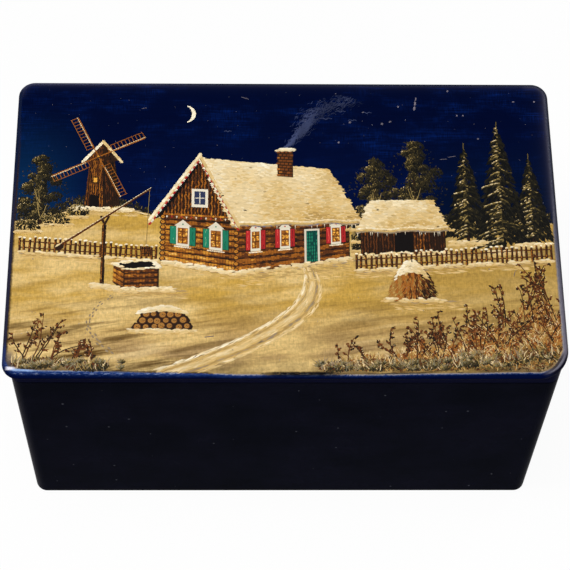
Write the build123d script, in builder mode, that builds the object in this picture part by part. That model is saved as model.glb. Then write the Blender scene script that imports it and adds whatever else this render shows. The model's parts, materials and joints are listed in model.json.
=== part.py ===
from build123d import *
import os
from math import radians, tan

# A lacquered papier-mache casket with a hinged lid, in millimetres.
# It stands on z = 0, with its front towards -Y and its width along X.

# Lid board, which overhangs the walls all round
lid_width = 180.0
lid_depth = 111.0
lid_board_thickness = 2.0
lid_overhang = 2.0
lid_corner_radius = 5.5
rubbed_corner_radius = 10.5  # the front right corner, rounder than the rest
lid_top_round = 1.5
lid_bottom_round = 0.4

# Lid frame, the slice of the wound wall that carries the lid board
lid_frame_height = 6.5

# Wound wall of the body
rim_height = 93.0
wall_thickness = 6.0
body_corner_radius = 4.0
base_round = 1.2
rim_round = 0.35  # eased edges along the line where lid and body meet

# Bottom board, let into the wall from below
bottom_thickness = 4.0
bottom_rebate = 2.5

# Lining boards, which stand above the rim as a lip that finds the lid
lining_thickness = 1.6
lip_height = 2.5
lip_round = 0.5
lip_clearance = 0.4

# Hinge: one row of tube knuckles on a pin, sunk in a V along the back
barrel_radius = 1.75
barrel_inset = 0.1  # how far the tubes lie inside the back face
pin_radius = 0.65
pin_clearance = 0.05
pin_setback = 0.6  # from the barrel's ends
knuckle_count = 9
knuckle_gap = 0.2
knuckle_chamfer = 0.2
hinge_end_margin = 13.0  # from the side of the body to the end of the barrel
glue_line = 0.05
swing_clearance = 0.3
opening_angle = 100.0
stop_angle = 2.0  # left between the two bevels when the lid is fully open

# Plan of the walls, and of the hollow inside them
body_width = lid_width - 2 * lid_overhang
body_depth = lid_depth - 2 * lid_overhang
back_y = body_depth / 2
hollow_width = body_width - 2 * wall_thickness
hollow_depth = body_depth - 2 * wall_thickness
bottom_width = hollow_width + 2 * bottom_rebate
bottom_depth = hollow_depth + 2 * bottom_rebate
lid_board_height = rim_height + lid_frame_height

# Hinge line, which lies in the rim plane
axis_y = back_y - barrel_inset - barrel_radius
bore_radius = pin_radius + pin_clearance
seat_radius = barrel_radius + glue_line
swing_radius = barrel_radius + swing_clearance
barrel_length = body_width - 2 * hinge_end_margin
barrel_start_x = -barrel_length / 2
knuckle_length = (barrel_length - (knuckle_count - 1) * knuckle_gap) / knuckle_count
knuckle_pitch = knuckle_length + knuckle_gap

# The V: frame and wall are each bevelled from the hinge line out past the back face
bevel_angle = (opening_angle + stop_angle) / 2
bevel_end_y = back_y + barrel_radius
bevel_rise = (bevel_end_y - axis_y) * tan(radians(bevel_angle))


def on_body(index):
    """The knuckles take turns, and both end ones belong to the body."""
    return index % 2 == 0


def knuckle_start(index):
    return barrel_start_x + index * knuckle_pitch


# Wall: wound board with a rebate for the bottom, bevelled and grooved for the hinge
with BuildPart() as body_wall:
    with BuildSketch():
        RectangleRounded(body_width, body_depth, body_corner_radius)
    extrude(amount=rim_height)
    fillet(body_wall.faces().sort_by(Axis.Z)[0].edges(), base_round)
    fillet(body_wall.faces().sort_by(Axis.Z)[-1].edges(), rim_round)
    with BuildSketch():
        Rectangle(hollow_width, hollow_depth)
    extrude(amount=rim_height, mode=Mode.SUBTRACT)
    with BuildSketch():
        Rectangle(bottom_width, bottom_depth)
    extrude(amount=bottom_thickness, mode=Mode.SUBTRACT)
    with BuildSketch(Plane.YZ.offset(-body_width / 2)):
        with BuildLine():
            Polyline(
                (axis_y, rim_height),
                (bevel_end_y, rim_height),
                (bevel_end_y, rim_height - bevel_rise),
                close=True,
            )
        make_face()
    extrude(amount=body_width, mode=Mode.SUBTRACT)
    for index in range(knuckle_count):
        with BuildSketch(Plane.YZ.offset(knuckle_start(index) - knuckle_gap / 2)):
            with Locations((axis_y, rim_height)):
                Circle(seat_radius if on_body(index) else swing_radius)
        extrude(amount=knuckle_pitch, mode=Mode.SUBTRACT)

# Bottom board: fills the rebate, flush with the foot of the wall
with BuildPart() as bottom_board:
    with BuildSketch():
        Rectangle(bottom_width, bottom_depth)
    extrude(amount=bottom_thickness)


# Lining: four boards round the inside, from the bottom board up to the lip
outer_x = hollow_width / 2
outer_y = hollow_depth / 2
inner_x = outer_x - lining_thickness
inner_y = outer_y - lining_thickness
outer_corners = [(-outer_x, -outer_y), (outer_x, -outer_y), (outer_x, outer_y), (-outer_x, outer_y)]
inner_corners = [(-inner_x, -inner_y), (inner_x, -inner_y), (inner_x, inner_y), (-inner_x, inner_y)]


def lining_board(corner):
    """The lining board from one inside corner to the next, mitred at both ends."""
    next_corner = (corner + 1) % len(outer_corners)
    with BuildPart() as board:
        with BuildSketch(Plane.XY.offset(bottom_thickness)):
            with BuildLine():
                Polyline(
                    outer_corners[corner],
                    outer_corners[next_corner],
                    inner_corners[next_corner],
                    inner_corners[corner],
                    close=True,
                )
            make_face()
        extrude(amount=rim_height + lip_height - bottom_thickness)
        long_top_edges = board.faces().sort_by(Axis.Z)[-1].edges().sort_by(SortBy.LENGTH)[-2:]
        fillet(long_top_edges, lip_round)
    return board.part


# Lid frame: stands on the rim, clears the lip, bevelled and grooved like the wall
with BuildPart() as lid_frame:
    with BuildSketch(Plane.XY.offset(rim_height)):
        RectangleRounded(body_width, body_depth, body_corner_radius)
    extrude(amount=lid_frame_height)
    fillet(lid_frame.faces().sort_by(Axis.Z)[0].edges(), rim_round)
    with BuildSketch(Plane.XY.offset(rim_height)):
        Rectangle(hollow_width + 2 * lip_clearance, hollow_depth + 2 * lip_clearance)
    extrude(amount=lid_frame_height, mode=Mode.SUBTRACT)
    with BuildSketch(Plane.YZ.offset(-body_width / 2)):
        with BuildLine():
            Polyline(
                (axis_y, rim_height),
                (bevel_end_y, rim_height),
                (bevel_end_y, rim_height + bevel_rise),
                close=True,
            )
        make_face()
    extrude(amount=body_width, mode=Mode.SUBTRACT)
    for index in range(knuckle_count):
        with BuildSketch(Plane.YZ.offset(knuckle_start(index) - knuckle_gap / 2)):
            with Locations((axis_y, rim_height)):
                Circle(swing_radius if on_body(index) else seat_radius)
        extrude(amount=knuckle_pitch, mode=Mode.SUBTRACT)

# Lid board: pressed board glued on the frame, its edge rounded over like a thumb
with BuildPart() as lid_board:
    with BuildSketch(Plane.XY.offset(lid_board_height)) as lid_plan:
        Rectangle(lid_width, lid_depth)
        rubbed_corner = lid_plan.vertices().sort_by(Axis.Y)[:2].sort_by(Axis.X)[-1]
        fillet(rubbed_corner, rubbed_corner_radius)
        left_corners = lid_plan.vertices().group_by(Axis.X)[0]
        back_right_corner = lid_plan.vertices().group_by(Axis.Y)[-1].sort_by(Axis.X)[-1]
        fillet([*left_corners, back_right_corner], lid_corner_radius)
    extrude(amount=lid_board_thickness)
    fillet(lid_board.faces().sort_by(Axis.Z)[-1].edges(), lid_top_round)
    fillet(lid_board.faces().sort_by(Axis.Z)[0].edges(), lid_bottom_round)


def hinge_knuckle(start_x):
    """One length of hinge tube, eased at both ends."""
    with BuildPart() as knuckle:
        with BuildSketch(Plane.YZ.offset(start_x)):
            with Locations((axis_y, rim_height)):
                Circle(barrel_radius)
                Circle(bore_radius, mode=Mode.SUBTRACT)
        extrude(amount=knuckle_length)
        end_edges = knuckle.edges().filter_by(GeomType.CIRCLE)
        outer_end_edges = end_edges.filter_by(lambda edge: edge.radius > bore_radius)
        chamfer(outer_end_edges, knuckle_chamfer)
    return knuckle.part


# Pin: one wire through every knuckle, a little shorter than the barrel
with BuildPart() as hinge_pin:
    with BuildSketch(Plane.YZ.offset(barrel_start_x + pin_setback)):
        with Locations((axis_y, rim_height)):
            Circle(pin_radius)
    extrude(amount=barrel_length - 2 * pin_setback)

pieces = {
    "body_wall": body_wall.part,
    "bottom_board": bottom_board.part,
    "lid_frame": lid_frame.part,
    "lid_board": lid_board.part,
    "hinge_pin": hinge_pin.part,
}
for corner, side in enumerate(["front", "right", "back", "left"]):
    pieces[f"{side}_lining"] = lining_board(corner)
for index in range(knuckle_count):
    owner = "body" if on_body(index) else "lid"
    pieces[f"{owner}_knuckle_{index // 2 + 1}"] = hinge_knuckle(knuckle_start(index))

os.makedirs("parts", exist_ok=True)
for name, piece in pieces.items():
    piece.label = name
    export_step(piece, f"parts/{name}.step")
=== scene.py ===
import json
import random
from math import atan2, cos, degrees, dist, exp, hypot, pi, radians, sin, sqrt

import bmesh
import bpy
import numpy as np
from mathutils import Euler, Matrix, Vector


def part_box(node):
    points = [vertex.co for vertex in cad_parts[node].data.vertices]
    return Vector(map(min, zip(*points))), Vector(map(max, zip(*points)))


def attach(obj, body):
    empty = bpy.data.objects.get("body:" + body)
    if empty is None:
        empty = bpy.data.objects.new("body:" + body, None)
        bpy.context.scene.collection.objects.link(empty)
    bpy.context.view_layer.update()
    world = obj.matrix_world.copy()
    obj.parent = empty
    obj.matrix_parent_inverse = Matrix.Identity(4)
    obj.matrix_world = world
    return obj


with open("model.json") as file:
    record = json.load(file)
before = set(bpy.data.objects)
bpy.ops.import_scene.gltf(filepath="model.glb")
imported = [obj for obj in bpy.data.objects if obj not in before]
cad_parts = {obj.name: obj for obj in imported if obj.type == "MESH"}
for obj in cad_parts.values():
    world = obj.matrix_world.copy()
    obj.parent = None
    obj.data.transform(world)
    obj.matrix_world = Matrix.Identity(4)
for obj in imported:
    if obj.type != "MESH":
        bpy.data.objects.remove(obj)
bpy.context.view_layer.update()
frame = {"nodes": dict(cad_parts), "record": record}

MM = 0.001

# Camera, fitted to the outline of the box as photographed
PHOTO_SIDE = 570
FOCAL_PIXELS = 1965.3
CAMERA_PLACE = Vector((-14.1, -317.5, 663.0)) * MM
CAMERA_PITCH = radians(62.27)
CAMERA_YAW = radians(2.687)
CAMERA_ROLL = radians(2.48)
SENSOR_WIDTH = 36.0

# The lid's top is measured in millimetres from its front left corner: u to the right, v to the back
LID_LOW, LID_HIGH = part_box("lid_board")
LID_WIDTH = (LID_HIGH.x - LID_LOW.x) / MM
LID_DEPTH = (LID_HIGH.y - LID_LOW.y) / MM
LID_TOP = LID_HIGH.z
LID_CORNER = 5.5
RUBBED_CORNER = 10.5
PICTURE_CORNER = 12.5  # of the picture inside the rubbed corner
BEAD_WIDTH = 1.35
PICTURE_MARGIN = 2.0
# Within this many millimetres of the rim, the painted sheen on the sky is at full strength
RIM_SHEEN_REACH = 1.5
SKYLINE = (52, 64)  # along the sides, where snow gives way to sky
THICKET_FOOT = 2.4

# Along the front of the lid the paint has gone darker
FRONT_GRIME = 0.12
GRIME_REACH = 8.0

# Paint is laid on the lid in thin coats, and each dab ends somewhere within its coat
COAT = 0.006 * MM
BAKE_MAP = "OFBake"

# How much one stroke of the brush differs from the next, in its pigment, its size and its tone
LEVEL_SPREAD = 0.05
LENGTH_SPREAD = 0.25
WIDTH_SPREAD = 0.2
TONE_SPREAD = 0.11

FLOOR_REACH = 4.0  # metres

# Red lacquer in its darker and its brighter patches, and then the pigments of the picture, all as red,
# green and blue out of 255. A colour ramp has room for 32 pigments and no more
VERMILION = ((118, 14, 10), (150, 26, 16))
PIGMENTS = {
    "snow_lilac": (120, 113, 124),
    "snow_shade": (150, 130, 102),
    "snow_ochre": (176, 142, 82),
    "snow_gold": (204, 168, 102),
    "snow_straw": (214, 183, 124),
    "snow_cream": (224, 199, 150),
    "snow_pale": (233, 214, 174),
    "snow_white": (241, 229, 200),
    "pine_black": (14, 14, 12),
    "pine_dark": (30, 27, 17),
    "pine": (56, 48, 27),
    "olive": (94, 80, 42),
    "frost_gold": (154, 130, 76),
    "soot": (16, 12, 12),
    "bark": (42, 25, 15),
    "log_brown": (90, 48, 20),
    "log_ochre": (150, 88, 28),
    "log_gold": (202, 136, 46),
    "log_light": (234, 184, 96),
    "madder_dark": (92, 18, 22),
    "madder": (176, 38, 40),
    "madder_light": (222, 96, 84),
    "green_dark": (10, 62, 54),
    "green": (30, 122, 92),
    "green_light": (126, 176, 132),
    "window_glow": (240, 172, 66),
    "trim_white": (232, 222, 198),
    "rust": (116, 64, 28),
    "leaf_orange": (162, 98, 38),
    "leaf_ochre": (164, 120, 58),
    "grass_grey": (126, 118, 92),
    "smoke": (56, 64, 96),
}
PIGMENT_NAMES = list(PIGMENTS)

# Scales of pigments, from dark to light
SNOW = (
    "snow_lilac", "snow_shade", "snow_ochre", "snow_gold",
    "snow_straw", "snow_cream", "snow_pale", "snow_white",
)
NEEDLES = ("pine_black", "pine_dark", "pine", "olive", "frost_gold", "snow_cream")
TIMBER = ("soot", "bark", "log_brown", "log_ochre", "log_gold", "log_light")
LEAVES = ("pine_dark", "bark", "log_brown", "rust", "leaf_orange", "leaf_ochre", "snow_gold", "snow_cream")
LITTER = ("pine_dark", "pine", "log_brown", "olive", "leaf_ochre", "snow_gold", "snow_cream")
HAY = ("bark", "log_brown", "leaf_orange", "leaf_ochre", "snow_gold", "snow_straw")
GRASS = ("pine_dark", "pine", "olive", "grass_grey", "frost_gold", "snow_shade", "snow_cream")
BRICK = ("log_brown", "rust", "leaf_orange")
RED = ("madder_dark", "madder", "madder_light")
GREEN = ("green_dark", "green", "green_light")


def linear(colour):
    """A colour out of 255 as the light that it reflects."""
    shares = [value / 255 for value in colour]
    return tuple(s / 12.92 if s <= 0.04045 else ((s + 0.055) / 1.055) ** 2.4 for s in shares)


class Wire:
    """A socket of a finish, so that sums on it can be written as Python."""

    def __init__(self, finish, socket):
        self.finish = finish
        self.socket = socket

    def maths(self, operation, *values):
        return self.finish.node("Math", {"operation": operation}, values)

    def __add__(self, other):
        return self.maths("ADD", self, other)

    __radd__ = __add__

    def __sub__(self, other):
        return self.maths("SUBTRACT", self, other)

    def __rsub__(self, other):
        return self.maths("SUBTRACT", other, self)

    def __mul__(self, other):
        return self.maths("MULTIPLY", self, other)

    __rmul__ = __mul__

    def __truediv__(self, other):
        return self.maths("DIVIDE", self, other)

    def __rtruediv__(self, other):
        return self.maths("DIVIDE", other, self)

    def __abs__(self):
        return self.maths("ABSOLUTE", self)

    def at_least(self, other):
        return self.maths("MAXIMUM", self, other)

    def at_most(self, other):
        return self.maths("MINIMUM", self, other)

    def root(self):
        return self.maths("SQRT", self)

    def rise(self, low, high):
        """0 below low, 1 above high, and a smooth step between them."""
        inputs = {"Value": self, "From Min": low, "From Max": high}
        return self.finish.node("MapRange", {"interpolation_type": "SMOOTHSTEP"}, inputs)

    def fall(self, low, high):
        return 1 - self.rise(low, high)


class Finish:
    """A procedural material: fixed values on its shader, and nodes for what varies over the surface."""

    def __init__(self, name, corner=(0, 0, 0), **fixed):
        self.corner = corner
        self.material = bpy.data.materials.new(name)
        self.material.use_nodes = True
        self.tree = self.material.node_tree
        self.shader = self.tree.nodes["Principled BSDF"]
        for words, value in fixed.items():
            self.shader.inputs[words.replace("_", " ")].default_value = value

    def feed(self, socket, value):
        if isinstance(value, Wire):
            self.tree.links.new(value.socket, socket)
        elif socket.type == "RGBA":
            socket.default_value = (*value, 1)
        else:
            socket.default_value = value

    def node(self, kind, settings=None, inputs=(), output=0):
        """Adds a node of that kind, with its settings and what its sockets hold, and returns one output."""
        made = self.tree.nodes.new("ShaderNode" + kind)
        for setting, value in (settings or {}).items():
            if setting == "stops":
                self.set_stops(made.color_ramp, value)
            else:
                setattr(made, setting, value)
        pairs = inputs.items() if isinstance(inputs, dict) else enumerate(inputs)
        for key, value in pairs:
            self.feed(made.inputs[key], value)
        return Wire(self, made.outputs[output])

    def set_stops(self, ramp, stops):
        ramp.interpolation = "CONSTANT"
        while len(ramp.elements) < len(stops):
            ramp.elements.new(1.0)
        for element, (position, colour) in zip(ramp.elements, stops):
            element.position = position
            element.color = (*colour, 1)

    def show(self, **links):
        for words, value in links.items():
            self.feed(self.shader.inputs[words.replace("_", " ")], value)
        return self.material

    def millimetres(self, stretch=(1, 1, 1), turn=0.0):
        """Object coordinates in millimetres from the corner, turned by degrees and then shrunk by stretch."""
        place = self.node("TexCoord", output="Object")
        corner = [-value / MM for value in self.corner]
        scaled = self.node("Mapping", {}, {"Vector": place, "Location": corner, "Scale": (1 / MM,) * 3})
        turned = self.node("Mapping", {}, {"Vector": scaled, "Rotation": (0, 0, radians(-turn))})
        return self.node("Mapping", {}, {"Vector": turned, "Scale": [1 / value for value in stretch]})

    def axes(self, vector):
        return [self.node("SeparateXYZ", {}, [vector], axis) for axis in range(3)]

    def noise(self, vector, size, detail=3.0, roughness=0.55):
        """Soft noise from 0 to 1 whose blots are about size millimetres across."""
        inputs = {"Vector": vector, "Scale": 1 / size, "Detail": detail, "Roughness": roughness}
        return self.node("TexNoise", {}, inputs)

    def marks(self, stretch, size, detail, roughness=0.55, turn=0.0):
        """Noise drawn out into brush marks."""
        return self.noise(self.millimetres(stretch, turn), size, detail, roughness)

    def specks(self, vector, spacing, radius, share):
        """1 inside round specks of up to that radius, in that share of the cells of a loose flat grid."""
        inputs = {"Vector": vector, "Scale": 1 / spacing}
        distance = self.node("TexVoronoi", {"voronoi_dimensions": "2D"}, inputs, "Distance") * spacing
        chosen = self.node("TexVoronoi", {"voronoi_dimensions": "2D"}, inputs, "Color")
        draw = self.node("SeparateColor", {}, [chosen], 0)
        reach = (draw - (1 - share)).at_least(0) * (radius / share)
        return (distance / (reach + 0.001)).fall(0.6, 1.2) * draw.rise(1 - share, 1 - 0.9 * share)

    def mix(self, factor, *colours):
        """Between two colours, each of them a wire or red, green and blue out of 255."""
        first, second = [linear(colour) if isinstance(colour, tuple) else colour for colour in colours]
        settings = {"data_type": "RGBA", "clamp_factor": True}
        return self.node("Mix", settings, {0: factor, 6: first, 7: second}, 2)

    def tinted(self, colour, factor):
        """A colour made darker or lighter by a factor about 1."""
        grey = self.node("CombineXYZ", {}, [factor, factor, factor])
        return self.node("VectorMath", {"operation": "MULTIPLY"}, [colour, grey])

    def bump(self, height, relief):
        """A normal for relief that is so many millimetres deep."""
        return self.node("Bump", {}, {"Height": height, "Strength": 1.0, "Distance": relief * MM})


def snow_line(u):
    """How high up the picture the snow reaches, with a hill at the left and a swell at the right."""
    hill = (u - 30) / 17
    swell = (u - 158) / 26
    return 54 + 9 / (1 + hill * hill) + 3 / (1 + swell * swell)


def edge_depth(u, v):
    """How far in from the edge of the board a point of the lid lies."""
    from_middle_u = u - LID_WIDTH / 2
    from_middle_v = v - LID_DEPTH / 2
    at_rubbed_corner = from_middle_u.rise(-0.5, 0.5) * from_middle_v.fall(-0.5, 0.5)
    radius = LID_CORNER + at_rubbed_corner * (RUBBED_CORNER - LID_CORNER)
    over_u = abs(from_middle_u) - (LID_WIDTH / 2 - radius)
    over_v = abs(from_middle_v) - (LID_DEPTH / 2 - radius)
    corner_u = over_u.at_least(0)
    corner_v = over_v.at_least(0)
    outside = (corner_u * corner_u + corner_v * corner_v).root() + over_u.at_least(over_v).at_most(0)
    return radius - outside


def night_sky(finish, u, v, depth_in, upright_hatch):
    """Deepest at the top, with wisps of a brighter blue in crossed brush marks.

    It turns greener low down at the left and duller at the right. Towards the rim at the right and at the
    back a painted sheen pales it, as light off the rounded edge would.
    """
    blots = finish.marks((2.6, 1.3, 1), 7.0, 4.0, 0.6)
    hatch = finish.marks((7, 0.35, 1), 1.2, 2.0)
    weave = hatch * 0.55 + upright_hatch * 0.45
    sky = finish.mix(v.fall(58, 98), (1, 8, 40), (3, 14, 52))
    sky = finish.mix(blots.rise(0.44, 0.74) * weave.rise(0.36, 0.7), sky, (4, 29, 88))
    sky = finish.mix(v.fall(60, 104) * u.fall(4, 32) * 0.85, sky, (9, 44, 80))
    sky = finish.mix(v.fall(62, 94) * u.rise(126, 150) * 0.7, sky, (3, 15, 34))
    sky = finish.tinted(sky, 0.7 + weave * 0.6)
    # Painted sheen: the sky pales near the rim at the right and at the back
    near_rim = RIM_SHEEN_REACH / depth_in.at_least(RIM_SHEEN_REACH)
    rim_sheen = u.rise(LID_WIDTH - 11, LID_WIDTH - 6) * v.rise(*SKYLINE)
    rim_sheen = rim_sheen.at_least(0.35 * v.rise(LID_DEPTH - 8, LID_DEPTH - 4))
    return finish.mix(near_rim * near_rim * near_rim * rim_sheen, sky, (62, 61, 76))


def golden_snow(finish, place, u, v, upright_hatch, strokes):
    """Gold far off and cream in the middle, with furrows that darken towards the lower left."""
    drifts = finish.marks((4, 1, 1), 7.0, 3.0, turn=4)
    furrows = finish.marks((13, 1, 1), 2.6, 4.0, 0.6, turn=9)
    grain = finish.noise(place, 1.1, 4.0, 0.7).rise(0.25, 0.75)
    snow = finish.mix(drifts.rise(0.36, 0.64), (190, 151, 68), (216, 184, 120))
    snow = finish.mix(u.rise(96, 165) * 0.8, snow, (170, 137, 70))
    snow = finish.mix(v.fall(6, 30) * drifts.fall(0.4, 0.62) * 0.7, snow, (168, 142, 108))
    furrowed = v.fall(8, 38) * u.fall(36, 100).at_least(u.rise(84, 130) * 0.7)
    snow = finish.mix(furrows.rise(0.45, 0.64) * (0.18 + 0.82 * furrowed), snow, (98, 72, 36))
    snow = finish.mix(furrows.fall(0.34, 0.46) * furrowed * 0.6, snow, (226, 198, 142))
    return finish.tinted(snow, 0.56 + strokes * 0.3 + upright_hatch.rise(0.25, 0.75) * 0.2 + grain * 0.38)


def painted_lid():
    """The lid board: blue lacquer bead, night sky and snow in glazes, and red lacquer underneath."""
    finish = Finish("painted_lid", LID_LOW, Specular_IOR_Level=0.003, Coat_Roughness=0.16)
    place = finish.millimetres()
    u, v, height = finish.axes(place)
    depth_in = edge_depth(u, v)
    upright_hatch = finish.marks((0.3, 3.5, 1), 1.0, 2.0)
    strokes = finish.marks((9, 0.22, 1), 1.3, 2.0, turn=2)
    sky = night_sky(finish, u, v, depth_in, upright_hatch)
    snow = golden_snow(finish, place, u, v, upright_hatch, strokes)
    below = snow_line(u) - v
    picture = finish.mix(below.rise(-0.2, 0.2), sky, snow)

    # Dust in the varnish, and grime along the front
    chips = finish.noise(place, 0.8, 4.0, 0.7)
    bites = finish.noise(place, 6.0, 2.0)
    dust = finish.specks(place, 8.0, 0.24, 0.16)
    crumbs = finish.specks(finish.millimetres(turn=34), 3.0, 0.12, 0.12)
    flecked = (dust * 0.5 + crumbs * 0.35).at_most(1)
    picture = finish.mix(flecked, picture, (150, 148, 158))
    picture = finish.tinted(picture, 1 - v.fall(1, 8) * (0.15 + 0.4 * bites.rise(0.35, 0.6)))

    # Bead: blue along the front and a greyish lilac round the sides, wider at the front left corner
    # and narrower where the picture comes down in the middle of the front. Light is painted into it: the
    # lilac round the sides is a painted sheen off the rounded edge, the front is a paler blue at its top
    # as painted light and darker low down as painted shade, and the rounder corner has a painted sheen
    ragged = depth_in + (chips - 0.5) * 0.8
    to_right = u.rise(LID_WIDTH - 6, LID_WIDTH - 2)
    to_front = v.fall(1.5, 7) * u.fall(LID_WIDTH - 9, LID_WIDTH - 4)
    to_back = v.rise(LID_DEPTH - 5, LID_DEPTH - 1.5)
    soft = to_right.at_least(to_back)
    wider = 0.9 * u.fall(5, 70) - 0.45 * u.rise(62, 76) * u.fall(112, 150) + 0.3 * u.rise(145, 165)
    rounder = u.rise(LID_WIDTH - 9.5, LID_WIDTH - 4.5) * v.fall(6, 10)
    wider = wider * to_front + 0.3 * soft * (1 - 2 * v.rise(*SKYLINE)) + 0.6 * rounder
    inwards = ragged - BEAD_WIDTH - wider
    # Right side: a painted sheen of light off the rounded edge, paler low down, dimmer beside the sky and
    # darker at the outer edge
    rim = finish.mix(v.rise(5, 75), (112, 108, 120), (58, 60, 76))
    rim = finish.mix(v.fall(3, 10), rim, (66, 65, 76))
    rim = finish.tinted(rim, 0.5 + depth_in.rise(0.1, 1.1) * 0.6)
    # Left side: blue near the front, then a painted greyish sheen, darker beside the sky
    left = finish.mix(v.rise(9, 13), (36, 47, 88), (37, 37, 54))
    left = finish.mix(v.rise(50, 80), left, (19, 27, 52))
    bead = finish.mix(to_right, left, rim)
    # Back: a painted lilac sheen along the rounding, paler towards the left
    bead = finish.mix(to_back, bead, finish.mix(u.rise(20, 80), (60, 62, 86), (34, 39, 56)))
    streaked = finish.marks((2.0, 0.5, 0.5), 1.0, 4.0, 0.7)
    reach = 0.75 + 1.1 * u.fall(20, 100)
    # Front: navy at its outer edge, and a paler blue towards the top of the rounding as painted light
    lit_upper_bead = (inwards / reach).rise(-1, -0.05)
    inky = u.rise(80, 87) * u.fall(102, 112)
    lit_bead_blue = finish.mix(inky, (24, 50, 108), (16, 26, 54))
    front = finish.mix(lit_upper_bead, (2, 12, 50), lit_bead_blue)
    worn = streaked.rise(0.5, 0.62) * lit_upper_bead * (0.15 + 0.85 * u.fall(35, 75))
    front = finish.mix(worn * 0.75, front, (96, 120, 168))
    # Painted shade: the lower part of the rounding is darker
    front = finish.mix(height.fall(0.5, 1.3), front, (9, 9, 26))
    bead = finish.mix(to_front, finish.tinted(bead, 0.75 + chips * 0.5), front)
    # Rounder corner: a pale painted sheen on the inner part of the bead, dark at its outer edge
    grey = finish.mix(depth_in.rise(0.5, 1.0), (18, 18, 36), (116, 114, 126))
    bead = finish.mix(rounder, bead, finish.tinted(grey, 0.55 + chips * 0.7))
    top = finish.mix(inwards.rise(-0.08, 0.08 + 0.6 * soft), bead, picture)

    # Where they meet: ink in some places, and rubbed to the pale ground in others
    inked = inwards.rise(-0.2, 0) * inwards.fall(0.4 + 0.3 * inky, 0.8 + 0.5 * inky) * to_front
    inked = inked * (bites.fall(0.42, 0.54) * 0.8).at_least(inky * chips.rise(0.28, 0.44))
    top = finish.mix(inked, top, (14, 13, 18))
    bitten = bites.rise(0.46, 0.6) * chips.rise(0.42, 0.54)
    rubbed = inwards.rise(-0.3, -0.05) * inwards.fall(0.1, 0.35)
    polished = u.fall(20, 56).at_least(u.rise(69, 75) * u.fall(80, 86)).at_least(u.rise(106, 122))
    bitten = bitten.at_least(polished * chips.rise(0.3, 0.5) * 0.8) * (1 - 0.8 * inky)
    pale = finish.mix(u.rise(30, 110), (128, 142, 172), (158, 154, 154))
    rubbed = rubbed * (to_front * bitten * 0.75 + to_right * v.fall(40, 70) * 0.35).at_most(1)
    top = finish.mix(rubbed, top, pale)

    # Grime has settled along the left and in the rounder corner, and the front left corner is smudged
    # by the thumb that opens the lid. Below the smudge a painted highlight stands in for a lamp's glint
    # on the corner: white, with a blue trail to the right
    settled = inwards.rise(-0.25, 0) * inwards.fall(0.1, 0.8) * u.fall(3, 6) * v.fall(70, 98)
    settled = settled.at_least(inwards.rise(-0.85, -0.55) * inwards.fall(0, 0.35) * rounder)
    top = finish.mix(settled * 0.85, top, (44, 32, 24))
    smudged = inwards.rise(-0.1, 0.1) * depth_in.fall(2.6, 4.6) * v.fall(7, 11) * u.fall(5, 9)
    top = finish.mix(smudged * 0.8, top, (78, 73, 78))
    # Painted highlight: the white glint, and then its blue trail
    painted_glint = abs(v + u * 0.06 - 3.2).fall(0.25, 0.8) * u.rise(1.0, 2.4) * u.fall(3.2, 5.6)
    top = finish.mix(painted_glint * (0.6 + 0.6 * chips), top, (240, 238, 250))
    glint_trail = abs(v + u * 0.05 - 2.75).fall(0.1, 0.55) * u.rise(2.4, 4.4) * u.fall(7, 13)
    top = finish.mix(glint_trail * (0.35 + 0.9 * chips), top, (150, 184, 236))

    # Underneath: dark rim, red inside the frame
    red = finish.mix(finish.noise(place, 9.0), *VERMILION)
    underneath = finish.mix(depth_in.rise(5.5, 5.7), (6, 9, 26), red)
    colour = finish.mix(height.rise(0.1, 0.3), underneath, top)

    rough = 0.22 + chips * 0.1 + rubbed * 0.35 + flecked * 0.2
    gleams = height.rise(1.85, 1.96) * streaked.rise(0.5, 0.62)
    varnish = depth_in.rise(1.4, 1.7).at_least(gleams) * 0.28 * (1 - rubbed)
    normal = finish.bump(strokes * 0.6 + chips * 0.4 - rubbed * 0.8, 0.012)
    return finish.show(Base_Color=colour, Roughness=rough, Coat_Weight=varnish, Normal=normal)


def miniature_paint():
    """Tempera under varnish. A dab lies on its pigment's swatch in the bake map, higher up where lighter."""
    finish = Finish("miniature_paint", Specular_IOR_Level=0.15)
    swatch = finish.node("UVMap", {"uv_map": BAKE_MAP})
    across, up, _ = finish.axes(swatch)
    share = 1 / len(PIGMENT_NAMES)
    stops = [(index * share, linear(PIGMENTS[name])) for index, name in enumerate(PIGMENT_NAMES)]
    pigment = finish.node("ValToRGB", {"stops": stops}, [across])
    hairs = finish.node("Mapping", {}, {"Vector": swatch, "Scale": (2400, 300, 1)})
    streaks = finish.node("TexNoise", {}, {"Vector": hairs, "Scale": 1.0, "Detail": 2.0})
    colour = finish.tinted(pigment, (0.42 + up * 1.16) * (0.86 + streaks * 0.28))
    return finish.show(Base_Color=colour, Roughness=0.3 + streaks * 0.14, Normal=finish.bump(streaks, 0.004))


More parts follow.
